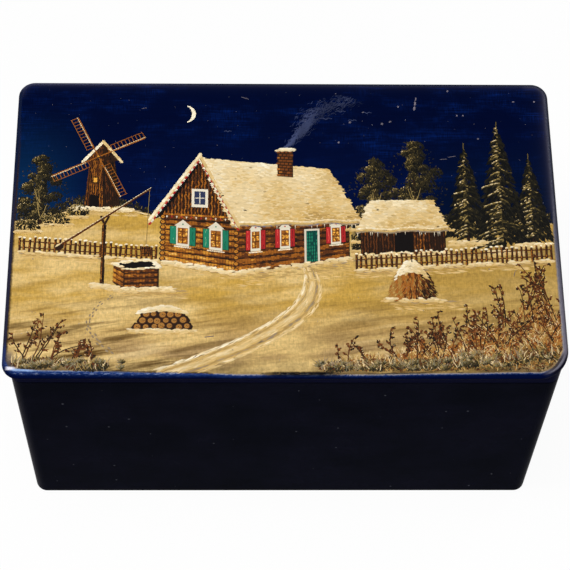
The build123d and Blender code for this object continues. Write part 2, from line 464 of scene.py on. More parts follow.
def blue_black_lacquer():
    """Walls and lid frame: near black with a breath of blue, dust and faint brush marks."""
    finish = Finish("blue_black_lacquer", Specular_IOR_Level=0.0012)
    place = finish.millimetres()
    x, y, height = finish.axes(place)
    round_the_walls = finish.node("CombineXYZ", {}, [x + y, height, 0.0])
    clouds = finish.noise(place, 22.0, 4.0)
    brushed = finish.marks((9, 9, 0.5), 2.2, 3.0)
    grain = finish.noise(place, 0.7, 3.0, 0.7)
    dust = finish.specks(round_the_walls, 7.0, 0.42, 0.12)
    scuffs = finish.marks((4, 4, 0.4), 1.1, 3.0, 0.7)
    scuffs = scuffs.rise(0.66, 0.78) * clouds.rise(0.5, 0.62)
    # Painted reflection: the rounded front left corner of the walls is lighter, for the pale floor it would
    # mirror
    corner_reflection = x.fall(-88, -84.5) * y.fall(-52, -48)
    colour = finish.mix(clouds.rise(0.3, 0.7), (6, 8, 19), (12, 13, 27))
    colour = finish.mix(corner_reflection * 0.6, colour, (42, 40, 47))
    lid_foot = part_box("lid_frame")[0].z / MM
    colour = finish.mix(height.rise(lid_foot, lid_foot + 0.2), colour, (11, 13, 40))
    colour = finish.tinted(colour, 0.5 + brushed * 0.4 + grain * 0.6)
    colour = finish.mix(dust * 0.4 + scuffs * 0.12, colour, (120, 122, 132))
    rough = 0.2 + clouds * 0.12 + dust * 0.3
    return finish.show(Base_Color=colour, Roughness=rough, Normal=finish.bump(brushed + clouds, 0.01))


def bottom_lacquer():
    """The bottom board: satin black outside, rubbed by shelves, and red lacquer inside."""
    finish = Finish("bottom_lacquer", Specular_IOR_Level=0.15)
    place = finish.millimetres()
    height = finish.axes(place)[2]
    rubbing = finish.marks((5, 1, 1), 6.0, 5.0, turn=23)
    black = finish.mix(rubbing.rise(0.5, 0.75), (16, 14, 16), (46, 42, 42))
    red = finish.mix(finish.noise(place, 9.0), *VERMILION)
    colour = finish.mix(height.rise(1.9, 2.1), black, red)
    return finish.show(Base_Color=colour, Roughness=0.35 + rubbing * 0.25, Normal=finish.bump(rubbing, 0.02))


def red_lacquer():
    """Linings: vermilion lacquer over board, with brush marks and wear along the lip."""
    finish = Finish("red_lacquer", Specular_IOR_Level=0.35)
    place = finish.millimetres()
    height = finish.axes(place)[2]
    clouds = finish.noise(place, 9.0)
    brushed = finish.marks((7, 7, 0.6), 1.6, 3.0)
    lip_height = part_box("front_lining")[1].z / MM
    worn = height.rise(lip_height - 0.9, lip_height) * brushed.rise(0.45, 0.7)
    colour = finish.mix(clouds, *VERMILION)
    colour = finish.tinted(colour, 0.85 + brushed * 0.3)
    colour = finish.mix(worn * 0.7, colour, (44, 16, 12))
    rough = 0.24 + clouds * 0.15 + worn * 0.2
    return finish.show(Base_Color=colour, Roughness=rough, Normal=finish.bump(brushed, 0.015))


def hinge_brass():
    """Knuckles: drawn brass tube, browned in patches."""
    finish = Finish("hinge_brass", Metallic=1.0)
    place = finish.millimetres()
    drawn = finish.marks((14, 0.5, 0.5), 0.6, 3.0)
    patina = finish.noise(place, 2.6, 4.0).rise(0.45, 0.75)
    colour = finish.mix(patina, (206, 166, 88), (112, 78, 36))
    rough = 0.26 + drawn * 0.14 + patina * 0.2
    return finish.show(Base_Color=colour, Roughness=rough, Normal=finish.bump(drawn, 0.006))


def pin_steel():
    """The hinge pin: bright drawn wire."""
    finish = Finish("pin_steel", Metallic=1.0)
    drawn = finish.marks((14, 0.4, 0.4), 0.5, 3.0)
    colour = finish.mix(drawn, (132, 130, 126), (178, 176, 172))
    return finish.show(Base_Color=colour, Roughness=0.28 + drawn * 0.2)


def put_in_scene(name, data):
    thing = bpy.data.objects.new(name, data)
    bpy.context.collection.objects.link(thing)
    return thing


def make_piece(name, shape, material):
    """Puts a finished bmesh in the scene, in one material."""
    mesh = bpy.data.meshes.new(name)
    shape.to_mesh(mesh)
    shape.free()
    mesh.materials.append(material)
    return put_in_scene(name, mesh)


# The corners of a dab's sides on its swatch in the bake map
SQUARE = ((-0.4, -0.4), (0.4, -0.4), (0.4, 0.4), (-0.4, 0.4))


class Stamp:
    """The shape of a dab of paint: a closed flake, one unit long, wide and high, broader at its foot."""

    def __init__(self, name, sides, turn, reach):
        flake = bmesh.new()
        sizes = {"segments": sides, "radius1": reach, "radius2": 0.8 * reach, "depth": 1}
        bmesh.ops.create_cone(flake, cap_ends=True, **sizes)
        turned = Matrix.Rotation(radians(turn), 3, "Z")
        bmesh.ops.rotate(flake, verts=flake.verts, cent=(0, 0, 0), matrix=turned)
        bmesh.ops.translate(flake, verts=flake.verts, vec=(0, 0, 0.5))
        self.mesh = bpy.data.meshes.new(name)
        flake.to_mesh(self.mesh)
        flake.free()
        self.mesh.uv_layers.new(name=BAKE_MAP)
        self.points = np.array([vertex.co for vertex in self.mesh.vertices], dtype=np.float32)
        self.swatch = np.zeros((len(self.mesh.loops), 2))
        for face in self.mesh.polygons:
            level = abs(face.normal.z) > 0.9
            for corner, loop in enumerate(face.loop_indices):
                point = self.points[self.mesh.loops[loop].vertex_index]
                self.swatch[loop] = point[:2] if level else SQUARE[corner]


ROUND = Stamp("round_dab", 6, 30, 0.55)
LEAF = Stamp("leaf_dab", 4, 0, 0.56)
BLADE = Stamp("blade_dab", 3, -90, 0.6)
BAR = Stamp("bar_dab", 4, 45, 0.7071)


def on_lid(u, v):
    """A point of the picture in the shared frame, in metres."""
    return Vector((LID_LOW.x + u * MM, LID_LOW.y + v * MM, LID_TOP))


def between(start, end, share):
    """The point that lies that share of the way from start to end."""
    return start[0] + (end[0] - start[0]) * share, start[1] + (end[1] - start[1]) * share


def spaced(start, end, count):
    """Points from start to end, evenly spaced."""
    return [between(start, end, step / (count - 1)) for step in range(count)]


def direction(start, end):
    """The way from start to end, in degrees."""
    return degrees(atan2(end[1] - start[1], end[0] - start[0]))


def ahead(point, distance, turn, aside=0.0):
    """The point at a distance from another, in a direction in degrees, and so far aside to the left."""
    angle = radians(turn)
    u = point[0] + distance * cos(angle) - aside * sin(angle)
    v = point[1] + distance * sin(angle) + aside * cos(angle)
    return u, v


def depth_inside(u, v):
    """How far in from the edge of the lid a point of the picture lies."""
    at_rubbed_corner = u > LID_WIDTH / 2 and v < LID_DEPTH / 2
    radius = PICTURE_CORNER if at_rubbed_corner else LID_CORNER
    over_u = abs(u - LID_WIDTH / 2) - (LID_WIDTH / 2 - radius)
    over_v = abs(v - LID_DEPTH / 2) - (LID_DEPTH / 2 - radius)
    return radius - hypot(max(over_u, 0), max(over_v, 0)) - min(max(over_u, over_v), 0)


class Brush:
    """Lays the dabs of one motif on the lid, and joins them in one piece."""

    def __init__(self, name, coats_below, seed):
        self.name = name
        self.coats_below = coats_below
        self.chance = random.Random(seed)
        self.paint = bmesh.new()
        self.map = self.paint.loops.layers.uv.new(BAKE_MAP)

    def draw(self, low=0.0, high=1.0):
        return self.chance.uniform(low, high)

    def vary(self, middle, spread):
        return middle + self.draw(-spread, spread)

    def height(self, coat):
        return (self.coats_below + coat + self.draw(0.1, 0.9)) * COAT

    def swatch(self, colour, tone):
        """The middle and the size of a dab's place in the bake map."""
        count = len(PIGMENT_NAMES)
        middle = (PIGMENT_NAMES.index(colour) + 0.5) / count, 0.05 + 0.9 * min(1, max(0, tone))
        return np.array(middle), np.array((0.5 / count, 0.03))

    def dab(self, u, v, length, width, turn, colour, tone=0.5, coat=0, shape=LEAF):
        """One flake of paint, left out where its middle would lie too near the edge of the lid."""
        if depth_inside(u, v) < PICTURE_MARGIN:
            return
        size = Vector((length * MM, width * MM, self.height(coat)))
        shape.mesh.vertices.foreach_set("co", shape.points.ravel())
        shape.mesh.transform(Matrix.LocRotScale(on_lid(u, v), Euler((0, 0, radians(turn))), size))
        middle, spread = self.swatch(colour, tone - FRONT_GRIME * max(0, 1 - v / GRIME_REACH))
        spots = (middle + shape.swatch * spread).astype(np.float32)
        shape.mesh.uv_layers[0].data.foreach_set("uv", spots.ravel())
        self.paint.from_mesh(shape.mesh)

    def stroke(self, u, v, length, width, turn, scale, level, coat=0, shape=LEAF):
        """A dab whose pigment comes from a scale, level 0 being its dark end and 1 its light end."""
        step = min(0.999, max(0.0, self.vary(level, LEVEL_SPREAD))) * (len(scale) - 1)
        pigment = scale[int(step + self.draw())]
        long = self.vary(length, LENGTH_SPREAD * length)
        wide = self.vary(width, WIDTH_SPREAD * width)
        self.dab(u, v, long, wide, turn, pigment, self.vary(0.5, TONE_SPREAD), coat, shape)

    def snow(self, u, v, length, width, turn, level, coat):
        """A soft stroke of snow."""
        self.stroke(u, v, length, width, turn, SNOW, level, coat, ROUND)

    def line(self, points, width, colour, tone=0.5, coat=0, taper=1.0):
        """A thin stroke through a few points, which ends at taper times its width."""
        runs = list(zip(points, points[1:]))
        for index, (start, end) in enumerate(runs):
            wide = width * (1 + (taper - 1) * index / len(runs))
            length = dist(start, end) + 0.4 * wide
            turn = direction(start, end)
            self.dab(*between(start, end, 0.5), length, wide, turn, colour, tone, coat, BAR)

    def patch(self, corners, colour, tone=0.5, coat=0):
        """A flat area of paint with the given corners."""
        foot = [self.paint.verts.new(on_lid(u, v)) for u, v in corners]
        lower = self.paint.faces.new(foot)
        made = bmesh.ops.extrude_face_region(self.paint, geom=[lower], use_keep_orig=True)["geom"]
        risen = [item for item in made if isinstance(item, bmesh.types.BMVert)]
        bmesh.ops.translate(self.paint, verts=risen, vec=(0, 0, self.height(coat)))
        faces = {face for vertex in foot + risen for face in vertex.link_faces}
        bmesh.ops.recalc_face_normals(self.paint, faces=list(faces))
        middle, spread = self.swatch(colour, tone)
        low = np.min(corners, axis=0)
        size = np.max(corners, axis=0) - low
        for face in faces:
            level = abs(face.normal.z) > 0.9
            for corner, loop in enumerate(face.loops):
                plan = (loop.vert.co.x - LID_LOW.x) / MM, (loop.vert.co.y - LID_LOW.y) / MM
                spot = (np.array(plan) - low) / size - 0.5 if level else np.array(SQUARE[corner % 4])
                loop[self.map].uv = middle + 0.8 * spot * spread

    def clump(self, u, v, wide, high, count, size, scale, low, gain, coat=0, lit=-2.0):
        """Dabs heaped in an oval and hanging outwards, lighter towards the light at the upper left."""
        for _ in range(count):
            spread = sqrt(self.draw())
            angle = self.draw(0, 2 * pi)
            du = spread * cos(angle)
            dv = spread * sin(angle)
            facing = 0.8 * dv - 0.6 * du
            turn = self.vary(55 * du - 90, 40)
            level = low + gain * (0.5 + 0.5 * facing)
            if facing > lit + self.draw(-0.3, 0.3):
                self.stroke(u + du * wide, v + dv * high, 1.5 * size, 0.65 * size, turn, scale, level, coat)

    def drift(self, start, end, count, depth, level, coat):
        """Small heaps of snow along a line."""
        for _ in range(count):
            u, v = between(start, end, self.draw())
            rise = self.draw(-1, 1)
            turn = self.vary(2, 12)
            self.snow(u, v + rise * depth, 2.1, 0.75, turn, level + 0.14 * rise, coat)

    def finish(self):
        """Puts the motif in the scene, where it rides on the lid."""
        piece = make_piece(self.name, self.paint, PAINT)
        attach(piece, "lid")


def wall_point(wall, s, t):
    """A point s along and t up a wall whose corners run from its lower left round to its upper left."""
    return between(between(wall[0], wall[1], s), between(wall[3], wall[2], s), t)


def wall_patch(brush, wall, s0, s1, t0, t1, colour, tone, coat):
    corners = [wall_point(wall, s, t) for s, t in ((s0, t0), (s1, t0), (s1, t1), (s0, t1))]
    brush.patch(corners, colour, tone, coat)


def log_wall(brush, wall, logs, light, coat):
    """Round logs, lit from above, in the shade of the eaves at the top and of snow at the foot."""
    brush.patch(list(wall), "bark", 0.5, coat)
    run = dist(wall[0], wall[1])
    thick = dist(wall[0], wall[3]) / logs
    turn = direction(wall[0], wall[1])
    bands = 5
    pace = 0.95
    for log in range(logs):
        tint = brush.vary(0, 0.07)
        for band in range(bands):
            rise = (band + 0.5) / bands
            t = (log + rise) / logs
            roundness = 1 - ((rise - 0.66) / 0.66) ** 2
            lit = (0.12 + 0.66 * roundness) * light - 0.3 * max(0, t - 0.78) / 0.22
            for step in range(int(run / pace)):
                s = (step + 0.5) * pace / run
                knot = 0.08 * sin(23 * s + 5 * log) * sin(9 * s)
                u, v = wall_point(wall, s, t)
                level = lit + tint + knot - 0.1 * s
                brush.stroke(u, v, 1.7, 0.3 * thick, brush.vary(turn, 2), TIMBER, level, coat + 1)


def plank_wall(brush, wall, planks, light, coat):
    """Upright planks with dark gaps."""
    brush.patch(list(wall), "bark", 0.5, coat)
    tall = dist(wall[0], wall[3])
    wide = dist(wall[0], wall[1]) / planks
    turn = direction(wall[0], wall[3])
    pace = 0.8
    for plank in range(planks):
        s = (plank + 0.5) / planks
        level = brush.vary(light, 0.09)
        for step in range(int(tall / pace)):
            u, v = wall_point(wall, s, (step + 0.5) * pace / tall)
            u = brush.vary(u, 0.2 * wide)
            brush.stroke(u, v, 1.9, 0.5 * wide, brush.vary(turn, 3), TIMBER, level, coat + 1)
        foot = wall_point(wall, (plank + 1) / planks, 0)
        top = wall_point(wall, (plank + 1) / planks, 1)
        brush.line([foot, top], 0.17, "soot", 0.5, coat + 2)


def cottage_window(brush, wall, s, t, wide, high, shutters, coat):
    """A lit window with a white frame, painted shutters, a peaked top and snow on its sill."""
    wall_patch(brush, wall, s - 1.1 * wide, s + 1.1 * wide, t - 0.01, t + high + 0.01, "bark", 0.5, coat)
    slats = 9
    for side in (-1, 1):
        near, far = sorted((s + side * 0.56 * wide, s + side * 1.04 * wide))
        wall_patch(brush, wall, near, far, t, t + high, shutters[1], 0.46 - 0.08 * side, coat + 1)
        for slat in range(slats):
            rise = t + high * (slat + 0.5) / slats
            u, v = wall_point(wall, brush.vary((near + far) / 2, 0.06 * wide), rise)
            brush.stroke(u, v, 1.3, 0.26, brush.vary(90, 5), shutters, 0.5 - 0.35 * side, coat + 2)
    left = s - 0.42 * wide
    right = s + 0.42 * wide
    outer = 0.54 * wide
    wall_patch(brush, wall, s - outer, s + outer, t - 0.03, t + high + 0.03, "trim_white", 0.4, coat + 3)
    wall_patch(brush, wall, left, right, t + 0.02, t + high - 0.02, "log_ochre", 0.5, coat + 4)
    for _ in range(24):
        rise = brush.draw(0.12, 0.88)
        u, v = wall_point(wall, s + brush.vary(0, 0.34) * wide, t + high * rise)
        warm = "window_glow" if brush.draw() < 0.8 else "log_light"
        brush.dab(u, v, 0.8, 0.6, brush.vary(90, 30), warm, brush.vary(0.4 + 0.24 * rise, 0.08), coat + 5)
    for rise in (0.38, 0.7):
        bar = t + high * rise
        wall_patch(brush, wall, left, right, bar, bar + 0.02, "log_brown", 0.5, coat + 6)
    stile = 0.05 * wide
    wall_patch(brush, wall, s - stile, s + stile, t + 0.02, t + high - 0.02, "log_brown", 0.5, coat + 6)
    peak = ((-0.7, 0.02), (0.7, 0.02), (0, 0.15))
    gable = [wall_point(wall, s + along * wide, t + high + up) for along, up in peak]
    brush.patch(gable, "trim_white", 0.36, coat + 4)
    brush.dab(*wall_point(wall, s, t + high + 0.055), 0.7, 0.6, 0, shutters[1], 0.5, coat + 5, ROUND)
    for step in range(8):
        u, v = wall_point(wall, s + (step - 3.5) * 0.18 * wide, t - 0.05)
        brush.snow(u, v, 0.9, 0.5, brush.vary(0, 14), 0.92, coat + 5)


def snowy_roof(brush, roof, strokes, coat):
    """Thick snow, cream towards the ridge and the light, with a rounded eave and icicles."""
    brush.patch(list(roof), "snow_cream", 0.5, coat)
    eave = direction(roof[0], roof[1])
    for _ in range(strokes):
        s = brush.draw()
        t = brush.draw()
        u, v = wall_point(roof, s, t)
        swell = 0.07 * sin(7 * s + 4 * t) + 0.05 * sin(17 * s - 7 * t)
        swell += 0.03 * sin(13 * t + 5 * s)
        level = 0.58 + 0.32 * t ** 0.7 - 0.26 * s + swell
        brush.snow(u, v, 2.0, 0.7, brush.vary(eave - 6, 14), level, coat + 1)
    run = dist(roof[0], roof[1])
    pace = 0.6
    for step in range(int(run / pace)):
        s = (step + 0.5) * pace / run
        u, v = wall_point(roof, s, 0)
        v += 0.3 * sin(0.45 * s * run) + brush.vary(0, 0.1)
        brush.snow(u, v - 0.75, 1.3, 0.7, brush.vary(0, 14), 0.12, coat + 1)
        brush.snow(u, v - 0.2, 1.3, 0.8, brush.vary(0, 14), 0.5 - 0.12 * s, coat + 2)
        brush.snow(u, v + 0.5, 1.3, 0.7, brush.vary(0, 14), 0.9 - 0.18 * s, coat + 3)
        if brush.draw() < 0.22:
            brush.dab(u, v - 1.5, brush.vary(1.7, 0.7), 0.3, -90, "snow_white", 0.42, coat + 2, BLADE)


def paint_far_forest(brush):
    """A low dark wood along the skyline, frosted on its left sides."""
    for step in range(290):
        u = 2.4 + 0.605 * step
        tall = 3.2 + 1.6 * sin(u / 8.5 + 0.6) + 1.2 * sin(u / 2.7) + brush.draw(-0.8, 1.4)
        tall = max(1.4, tall + 3.0 / (1 + ((u - 118) / 16) ** 2))
        foot = snow_line(u) - 0.5
        for _ in range(int(3 + 2.6 * tall)):
            rise = brush.draw()
            place = brush.vary(u, 1.05 - 0.8 * rise)
            turn = brush.vary(-90, 45)
            brush.stroke(place, foot + tall * rise, 1.0, 0.45, turn, NEEDLES, 0.14 + 0.1 * rise)
        for _ in range(int(0.7 * tall)):
            rise = brush.draw()
            place = u - 0.6 * (1 - rise)
            brush.stroke(place, foot + tall * rise, 0.7, 0.32, brush.vary(-110, 40), NEEDLES, 0.6, 1)
        brush.stroke(u, foot + 0.1, 1.4, 0.4, brush.vary(0, 20), SNOW, 0.6, 2)


def crown_reach(wide, rise):
    """How far out a leafy crown reaches, that share of its height up."""
    return wide * sin(pi * (0.16 + 0.76 * rise))


def frosted_tree(brush, u, foot, tall, wide, coat):
    """A leafy crown in heaped clumps on a forked trunk, nearly black but for cream frost to the left."""
    trunk = [(u, foot - 0.5), (u + 0.4, foot + 0.3 * tall), (u - 0.2, foot + 0.6 * tall)]
    brush.line(trunk, 1.0, "bark", 0.5, coat, 0.4)
    lobes = []
    lobe_count = 34
    for lobe in range(lobe_count):
        rise = 0.14 + 0.84 * (lobe + brush.draw()) / lobe_count
        side = brush.draw(-1, 1) if lobe % 3 else 0.0
        crown = crown_reach(wide, rise) * (0.86 + 0.14 * sin(11 * rise + u))
        size = wide * brush.draw(0.2, 0.36) * (1.15 - 0.5 * rise)
        lobes.append((u + side * (crown - 0.5 * size), foot + tall * rise, size, 0.5 - 0.5 * side))
    for lobe_u, lobe_v, size, lit in lobes:
        count = int(26 * size)
        brush.clump(lobe_u, lobe_v, size, 0.8 * size, count, 0.8, NEEDLES, 0.0, 0.2 + 0.1 * lit, coat)
    for lobe_u, lobe_v, size, lit in lobes:
        high = 0.72 * size
        count = int(20 * size)
        gain = 0.26 + 0.2 * lit
        brush.clump(lobe_u, lobe_v, size, high, count, 0.52, NEEDLES, 0.1, gain, coat + 1, -0.1)
        count = int((3 + 22 * lit) * size)
        gain = 0.42 + 0.24 * lit
        frost_v = lobe_v + 0.1 * size
        brush.clump(lobe_u, frost_v, size, high, count, 0.36, NEEDLES, 0.26, gain, coat + 2, 0.35)
    for spray in range(int(9 * tall)):
        rise = brush.draw(0.12, 1.02)
        side = brush.draw(-1.04, 1.04)
        spray_u = u + side * crown_reach(wide, rise)
        turn = brush.vary(90 - 50 * side, 50)
        shade = brush.draw(0.08, 0.36) - 0.08 * side
        brush.stroke(spray_u, foot + tall * rise, 0.75, 0.36, turn, NEEDLES, shade, coat + 1)
    for branch in range(6):
        side = brush.chance.choice((-1, 1))
        start = foot + tall * brush.draw(0.05, 0.35)
        reach = brush.draw(0.8, 2.2)
        limb = [(u, start), (u + side * 0.6 * reach, start + 2.4), (u + side * reach, start + 5.4)]
        brush.line(limb, 0.3, "frost_gold", brush.vary(0.4, 0.15), coat + 3, 0.4)


def paint_frosted_trees(brush):
    """Two trees behind the barn and one at the left, with hedges and snow at their feet."""
    frosted_tree(brush, 120, 54, 26, 9.0, 0)
    frosted_tree(brush, 133, 54, 33, 10.5, 1)
    frosted_tree(brush, 9.5, 54, 27, 9.0, 0)
    hedge = (
        (113, 55.5, 4.5), (127, 55, 5), (140, 55.5, 5.5), (113.4, 51, 1.7), (113.4, 47.5, 1.7),
        (5.5, 54.5, 4.2), (15, 57, 5), (22, 60, 3.5),
    )
    for u, v, wide in hedge:
        brush.clump(u, v, wide, 2.6, 150, 0.7, NEEDLES, 0.04, 0.3, 4)
        brush.clump(u - 0.3, v + 0.3, wide, 2.4, 150, 0.48, NEEDLES, 0.3, 0.55, 5, 0.1)
        brush.drift((u - wide, v - 2.2), (u + wide, v - 2.2), int(7 * wide), 0.4, 0.5, 6)


def fir_reach(wide, rise):
    """How far out the boughs of a fir reach, that share of its height up."""
    return wide * (1 - rise) ** 0.9


def fir(brush, u, foot, tall, wide, coat):
    """A fir: a dark cone of needles, with boughs that droop and carry snow on the side of the light."""
    brush.line([(u, foot - 1.4), (u, foot + 0.2 * tall)], 1.1, "bark", 0.5, coat)
    for _ in range(int(19 * tall)):
        rise = 1 - sqrt(1 - brush.draw())
        reach = fir_reach(wide, rise) + 0.3
        lean = brush.draw(-0.9, 0.9)
        height = foot + tall * (0.05 + 0.95 * rise)
        brush.stroke(u + lean * reach, height, 2.1, 0.8, brush.vary(50 * lean - 90, 14), NEEDLES, 0.07, coat)
    boughs = int(1.9 * tall)
    for bough in range(boughs):
        rise = (bough + brush.draw()) / boughs
        side = brush.draw(-1, 1)
        reach = (fir_reach(wide, rise) + 0.5) * brush.draw(0.75, 1.12) * side
        droop = brush.draw(0.2, 0.42) + 0.25 * (1 - abs(side))
        start = foot + tall * (0.07 + 0.93 * rise)
        snowed = brush.draw(0.05, 0.75) - 0.3 * side
        steps = int(abs(reach) / 0.55) + 2
        for step in range(steps):
            share = (step + 0.5) / steps
            at_u = u + reach * share
            at_v = start - droop * abs(reach) * share ** 1.6 - 0.8 * (1 - abs(side)) * share
            at_v = max(at_v, foot + 0.8)
            along = degrees(atan2(-1.6 * droop * share, 1 if side > 0 else -1))
            brush.stroke(at_u, at_v - 0.65, 1.5, 0.6, brush.vary(40 * side - 90, 20), NEEDLES, 0.06, coat + 1)
            shade = 0.34 - 0.14 * side
            turn = brush.vary(45 * side - 90, 22)
            brush.stroke(at_u, at_v - 0.2, 1.2, 0.45, turn, NEEDLES, shade, coat + 2)
            if brush.draw() < snowed:
                frost = brush.vary(0.72 - 0.16 * side, 0.16)
                brush.stroke(at_u, at_v + 0.15, 1.0, 0.4, brush.vary(along, 26), NEEDLES, frost, coat + 3)
    brush.line([(u, foot + tall - 0.5), (u + 0.1, foot + tall + 1.8)], 0.34, "olive", 0.5, coat + 2)


def paint_firs(brush):
    """Three firs at the right, with snow at their feet."""
    fir(brush, 150, 49, 36, 7.8, 0)
    fir(brush, 171.5, 48, 33, 6.6, 0)
    fir(brush, 161.5, 45.5, 48, 9.8, 4)
    for u, v in ((150, 48.2), (171, 47.4), (161.5, 44.6)):
        brush.drift((u - 6, v), (u + 6, v + 0.3), 60, 0.9, 0.6, 8)


def paint_windmill(brush):
    """A post mill on the hill, its sails set against the sky."""
    lit_side = ((23.8, 62.0), (30.2, 61.0), (29.3, 80.0), (25.2, 80.4))
    dark_side = ((30.2, 61.0), (35.6, 62.2), (33.4, 80.2), (29.3, 80.0))
    plank_wall(brush, dark_side, 7, 0.2, 0)
    plank_wall(brush, lit_side, 8, 0.5, 0)
    brush.patch([(24.0, 79.6), (34.8, 79.4), (29.4, 86.2)], "bark", 0.6, 1)
    for _ in range(90):
        s = brush.draw()
        t = brush.draw()
        u = 29.4 + (s - 0.5) * 9.6 * (1 - t)
        brush.stroke(u, 79.8 + 6 * t, 1.4, 0.5, brush.vary(90, 8), TIMBER, 0.42 - 0.3 * s, 2)
    slopes = (((22.9, 79.2), (29.4, 86.9), 0.92), ((29.4, 86.9), (35.6, 79.2), 0.6))
    for start, end, level in slopes:
        turn = direction(start, end)
        for u, v in spaced(start, end, 22):
            brush.snow(u, v, 1.4, 1.0, brush.vary(turn, 8), level, 3)
    wall_patch(brush, lit_side, 0.28, 0.74, 0.0, 0.25, "soot", 0.5, 3)
    wall_patch(brush, lit_side, 0.34, 0.7, 0.5, 0.63, "soot", 0.5, 3)
    wall_patch(brush, lit_side, 0.4, 0.64, 0.515, 0.61, "window_glow", 0.36, 4)
    hub = (28.0, 81.0)
    for arm in range(4):
        turn = 26 + 90 * arm
        for step in range(9):
            spar = [ahead(hub, 2 * step - 1, turn), ahead(hub, 2 * step + 1, turn)]
            brush.line(spar, 0.55, "log_ochre", brush.vary(0.42, 0.1), 6)
        rail = [ahead(hub, 4, turn, 2.4), ahead(hub, 17, turn, 2.4)]
        brush.line(rail, 0.24, "log_ochre", 0.42, 6)
        for step in range(11):
            out = 4 + 1.3 * step
            bar = [ahead(hub, out, turn), ahead(hub, out, turn, 2.5)]
            brush.line(bar, 0.22, "log_ochre", brush.vary(0.5, 0.15), 5)
        for step in range(16):
            brush.stroke(*ahead(hub, 5 + 0.8 * step, turn, 0.25), 0.9, 0.32, turn, SNOW, 0.8, 7)
    brush.dab(*hub, 1.7, 1.7, 0, "bark", 0.5, 8, ROUND)
    brush.dab(hub[0] - 0.15, hub[1] + 0.15, 1.0, 1.0, 0, "log_gold", 0.4, 9, ROUND)
    brush.drift((20, 61.2), (40, 60.6), 70, 0.7, 0.8, 4)


